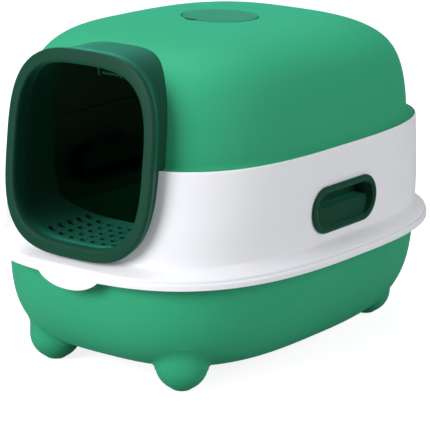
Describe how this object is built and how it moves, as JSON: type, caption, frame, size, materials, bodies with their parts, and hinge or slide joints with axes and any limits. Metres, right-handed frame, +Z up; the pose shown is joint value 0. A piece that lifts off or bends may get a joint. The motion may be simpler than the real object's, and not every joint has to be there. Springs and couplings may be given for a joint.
{
  "type": "hooded cat litter box",
  "caption": "Hooded cat litter box: footed tub, flared belt with side grips, and a lift-off domed hood with a framed doorway and a round deodoriser lid.",
  "frame": {"origin": "on the floor, under the middle of the box", "axes": "+Z up, the doorway faces -Y, X across the width"},
  "size_m": [0.39, 0.56, 0.3813],
  "materials": {
    "green_shell": "satin moulded polypropylene",
    "white_shell": "satin moulded polypropylene",
    "dark_green_trim": "satin moulded polypropylene",
    "carbon": "activated-carbon felt"
  },
  "bodies": {
    "tub": {"litter_tub": "green_shell"},
    "belt": {"belt": "white_shell", "grip_right": "dark_green_trim", "grip_left": "dark_green_trim"},
    "hood": {"hood": "green_shell", "door_frame": "dark_green_trim", "flap_hanger": "dark_green_trim", "flap_hanger_pin": "dark_green_trim", "deodoriser_cup": "dark_green_trim", "carbon_filter": "carbon"},
    "lid": {"deodoriser_lid": "dark_green_trim"}
  },
  "joints": [
    {"name": "belt_lift", "type": "slide", "parent": "tub", "child": "belt", "axis": [0, 0, 1], "range_m": [0, 0.12]},
    {"name": "hood_lift", "type": "slide", "parent": "belt", "child": "hood", "axis": [0, 0, 1], "range_m": [0, 0.2]},
    {"name": "lid_lift", "type": "slide", "parent": "hood", "child": "lid", "axis": [0, 0, 1], "range_m": [0, 0.05]}
  ]
}
